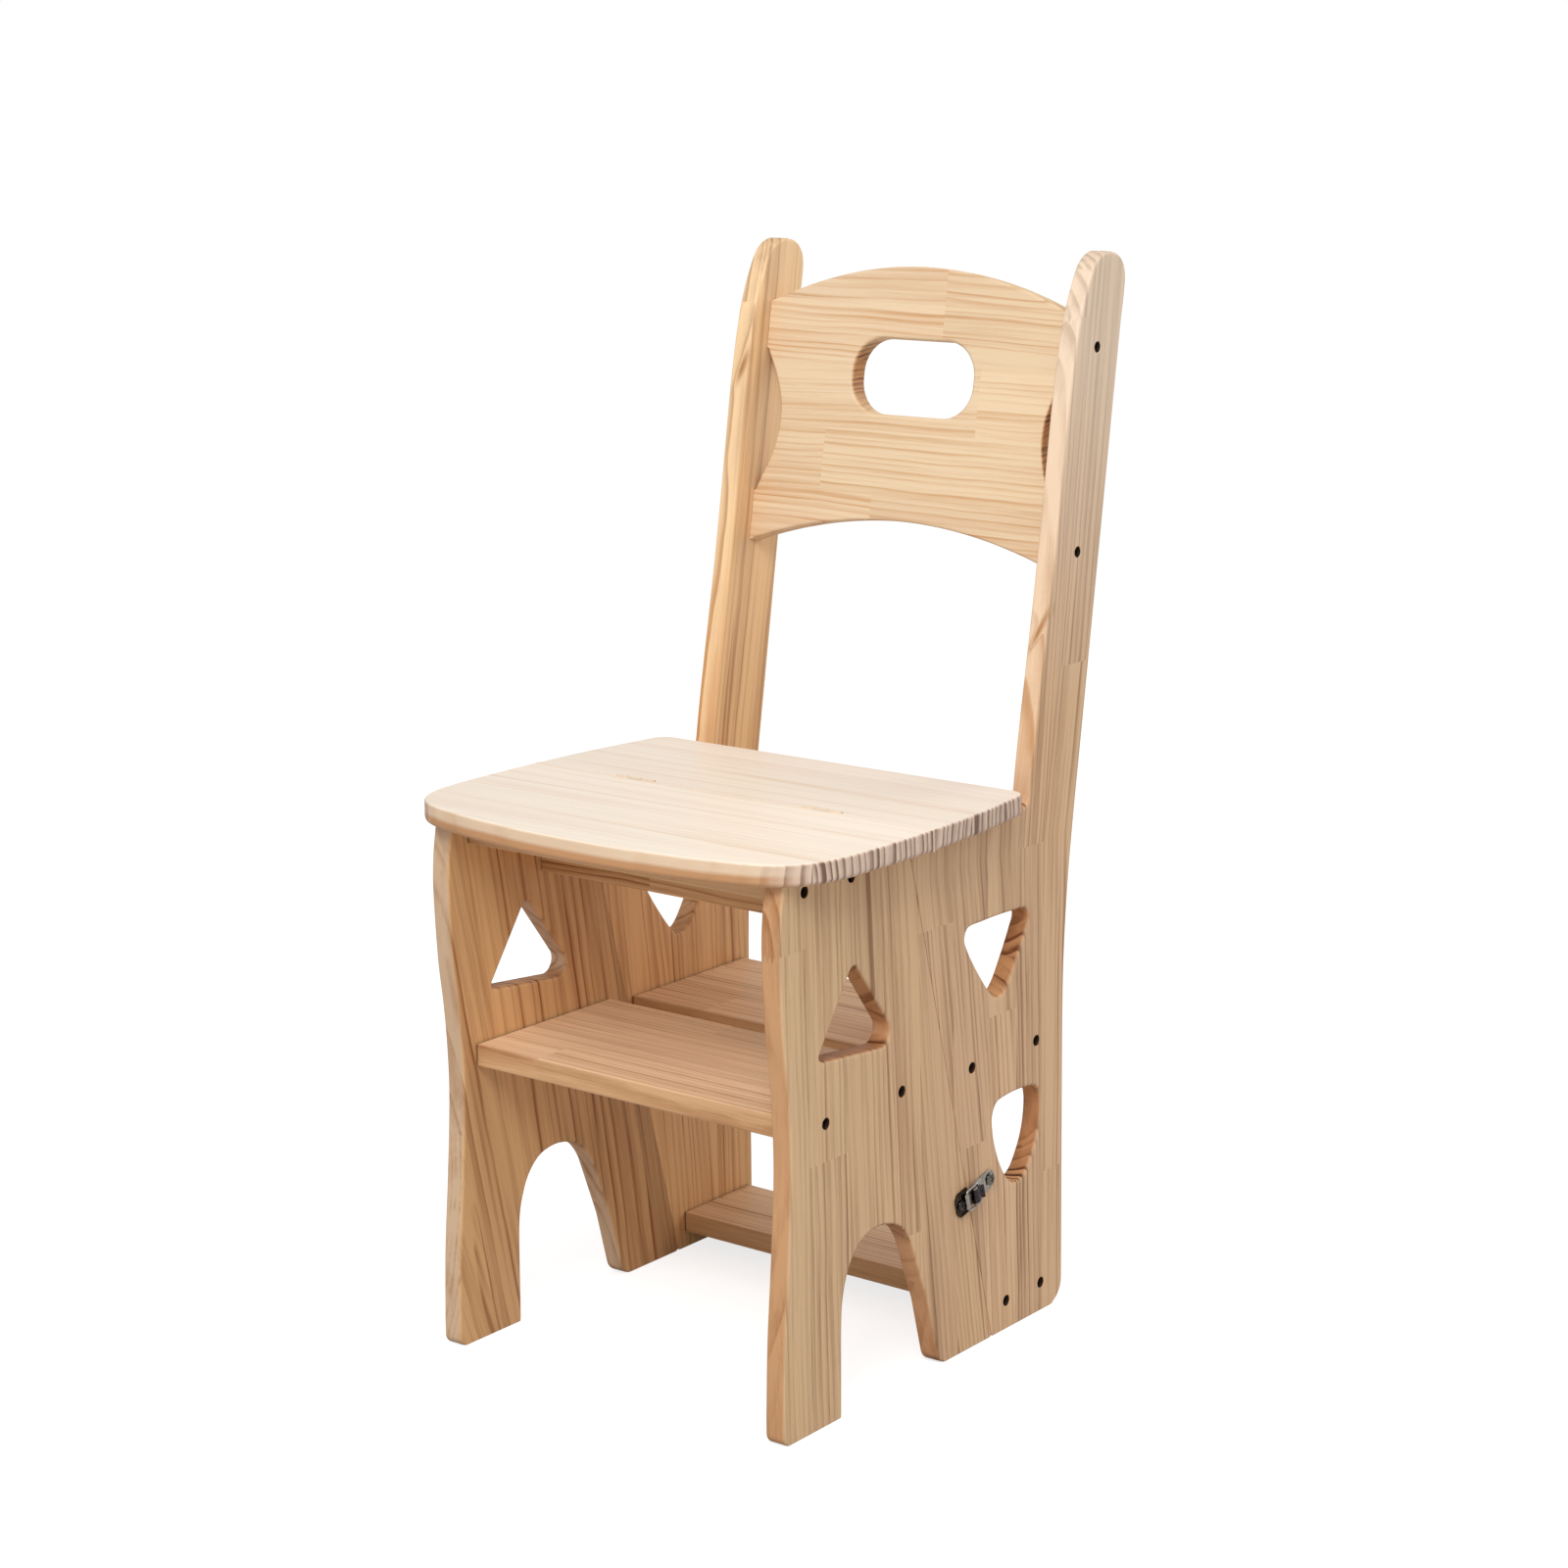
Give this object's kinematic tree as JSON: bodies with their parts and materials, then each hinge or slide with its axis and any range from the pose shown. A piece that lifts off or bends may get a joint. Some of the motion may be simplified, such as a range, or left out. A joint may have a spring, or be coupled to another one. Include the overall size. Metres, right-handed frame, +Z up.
{
  "type": "folding step stool chair",
  "caption": "Pine chair whose rear half swings up and over its front half to make a stepladder; side panels have pointed windows and a clasp at the parting line.",
  "frame": {"origin": "on the floor at the centre of the chair's footprint box, with the chair set up as a chair", "axes": "+Z up, +Y towards the chair's back, +X along the seat's width"},
  "size_m": [0.408, 0.4919, 0.87],
  "materials": {
    "pine_panel": "glued pine strips, sanded, clear matt oil, tan",
    "pine_seat": "glued pine strips, sanded, clear satin lacquer, pale cream",
    "pine_tread": "glued pine strips, sanded, clear matt oil, tan",
    "pine_backrest": "glued pine strips, sanded, clear satin lacquer, honey",
    "screw_steel": "black oxide steel",
    "hinge_steel": "yellow zinc plated steel",
    "latch_dark": "black nickel plated steel",
    "latch_bright": "bright nickel plated steel"
  },
  "bodies": {
    "front_frame": {"side_panel_front_right": "pine_panel", "side_panel_front_left": "pine_panel", "seat_board_front": "pine_seat", "top_tread": "pine_tread", "mid_tread_front": "pine_tread", "seat_apron": "pine_tread", "screw_top_tread_1_right": "screw_steel", "screw_top_tread_1_left": "screw_steel", "screw_top_tread_2_right": "screw_steel", "screw_top_tread_2_left": "screw_steel", "screw_mid_tread_front_1_right": "screw_steel", "screw_mid_tread_front_1_left": "screw_steel", "screw_mid_tread_front_2_right": "screw_steel", "screw_mid_tread_front_2_left": "screw_steel", "seat_hinge_left_leaf_front": "hinge_steel", "seat_hinge_left_pin": "hinge_steel", "seat_hinge_right_leaf_front": "hinge_steel", "seat_hinge_right_pin": "hinge_steel", "hinge_screw_left_front_1": "hinge_steel", "hinge_screw_left_front_2": "hinge_steel", "hinge_screw_right_front_1": "hinge_steel", "hinge_screw_right_front_2": "hinge_steel", "latch_right_catch_plate": "latch_dark", "latch_right_catch_screw": "latch_bright", "latch_left_catch_plate": "latch_dark", "latch_left_catch_screw": "latch_bright"},
    "rear_frame": {"side_panel_rear_right": "pine_panel", "side_panel_rear_left": "pine_panel", "seat_board_rear": "pine_seat", "mid_tread_rear": "pine_tread", "bottom_tread": "pine_tread", "backrest_panel": "pine_backrest", "screw_mid_tread_rear_1_right": "screw_steel", "screw_mid_tread_rear_1_left": "screw_steel", "screw_mid_tread_rear_2_right": "screw_steel", "screw_mid_tread_rear_2_left": "screw_steel", "screw_bottom_tread_1_right": "screw_steel", "screw_bottom_tread_1_left": "screw_steel", "screw_bottom_tread_2_right": "screw_steel", "screw_bottom_tread_2_left": "screw_steel", "screw_backrest_1_right": "screw_steel", "screw_backrest_1_left": "screw_steel", "screw_backrest_2_right": "screw_steel", "screw_backrest_2_left": "screw_steel", "seat_hinge_left_leaf_rear": "hinge_steel", "seat_hinge_right_leaf_rear": "hinge_steel", "hinge_screw_left_rear_1": "hinge_steel", "hinge_screw_left_rear_2": "hinge_steel", "hinge_screw_right_rear_1": "hinge_steel", "hinge_screw_right_rear_2": "hinge_steel", "latch_right_base_plate": "latch_bright", "latch_right_base_screw": "latch_bright", "latch_right_pivot_pin": "latch_bright", "latch_left_base_plate": "latch_bright", "latch_left_base_screw": "latch_bright", "latch_left_pivot_pin": "latch_bright"},
    "latch_lever_right_body": {"latch_right_lever": "latch_dark"},
    "latch_bail_right_body": {"latch_right_bail": "latch_bright"},
    "latch_lever_left_body": {"latch_left_lever": "latch_dark"},
    "latch_bail_left_body": {"latch_left_bail": "latch_bright"}
  },
  "joints": [
    {"name": "fold", "type": "hinge", "parent": "front_frame", "child": "rear_frame", "pos_m": [0, -0.0595, 0.4503], "axis": [1, 0, 0], "range_deg": [0, 180]},
    {"name": "latch_right_open", "type": "hinge", "parent": "rear_frame", "child": "latch_lever_right_body", "pos_m": [0.1794, 0.02919, 0.12964], "axis": [0, 0.2535, -0.9673], "range_deg": [0, 110]},
    {"name": "latch_right_bail_turn", "type": "hinge", "parent": "latch_lever_right_body", "child": "latch_bail_right_body", "pos_m": [0.1794, 0.03413, 0.13093], "axis": [0, 0.2535, -0.9673], "range_deg": [-110, 0]},
    {"name": "latch_left_open", "type": "hinge", "parent": "rear_frame", "child": "latch_lever_left_body", "pos_m": [-0.1794, 0.02919, 0.12964], "axis": [0, -0.2535, 0.9673], "range_deg": [0, 110]},
    {"name": "latch_left_bail_turn", "type": "hinge", "parent": "latch_lever_left_body", "child": "latch_bail_left_body", "pos_m": [-0.1794, 0.03413, 0.13093], "axis": [0, -0.2535, 0.9673], "range_deg": [-110, 0]}
  ],
  "couplings": [
    {"joint": "latch_right_bail_turn", "follows": "latch_right_open", "ratio": -1},
    {"joint": "latch_left_bail_turn", "follows": "latch_left_open", "ratio": -1}
  ]
}
